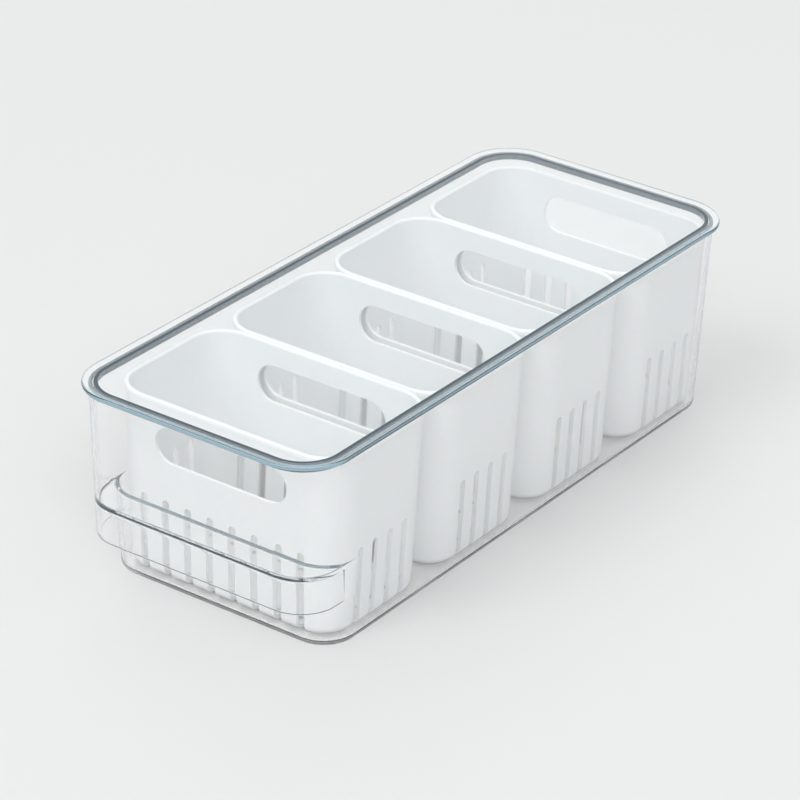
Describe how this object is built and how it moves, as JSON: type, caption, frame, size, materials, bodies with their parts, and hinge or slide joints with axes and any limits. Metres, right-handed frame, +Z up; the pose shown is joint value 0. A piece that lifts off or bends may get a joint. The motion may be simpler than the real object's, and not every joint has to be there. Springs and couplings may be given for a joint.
{
  "type": "lidded fridge bin with drain baskets",
  "caption": "Long clear storage bin with a finger pull at the front, a flat clear lid, and slotted white drain baskets standing side by side inside.",
  "frame": {"origin": "centre of the overall footprint, on the underside of the bin", "axes": "+X across the width, +Y along the length towards the plain rear end (the finger pull is at -Y), +Z up"},
  "size_m": [0.152, 0.368, 0.108],
  "materials": {
    "clear_bin": "clear moulded plastic, polished",
    "clear_lid": "clear moulded plastic, polished, faintly cool tint",
    "white_basket": "white moulded plastic, soft satin"
  },
  "bodies": {
    "bin": {"bin_body": "clear_bin"},
    "lid": {"lid": "clear_lid"},
    "basket_1": {"basket_1": "white_basket"},
    "basket_2": {"basket_2": "white_basket"},
    "basket_3": {"basket_3": "white_basket"},
    "basket_4": {"basket_4": "white_basket"}
  },
  "joints": [
    {"name": "lid_lift", "type": "slide", "parent": "bin", "child": "lid", "axis": [0, 0, 1], "range_m": [0, 0.24]},
    {"name": "basket_1_lift", "type": "slide", "parent": "bin", "child": "basket_1", "axis": [0, 0, 1], "range_m": [0, 0.12]},
    {"name": "basket_2_lift", "type": "slide", "parent": "bin", "child": "basket_2", "axis": [0, 0, 1], "range_m": [0, 0.12]},
    {"name": "basket_3_lift", "type": "slide", "parent": "bin", "child": "basket_3", "axis": [0, 0, 1], "range_m": [0, 0.12]},
    {"name": "basket_4_lift", "type": "slide", "parent": "bin", "child": "basket_4", "axis": [0, 0, 1], "range_m": [0, 0.12]}
  ],
  "couplings": [
    {"joint": "basket_1_lift", "follows": "lid_lift", "ratio": 0.5},
    {"joint": "basket_2_lift", "follows": "lid_lift", "ratio": 0.5},
    {"joint": "basket_3_lift", "follows": "lid_lift", "ratio": 0.5},
    {"joint": "basket_4_lift", "follows": "lid_lift", "ratio": 0.5}
  ]
}
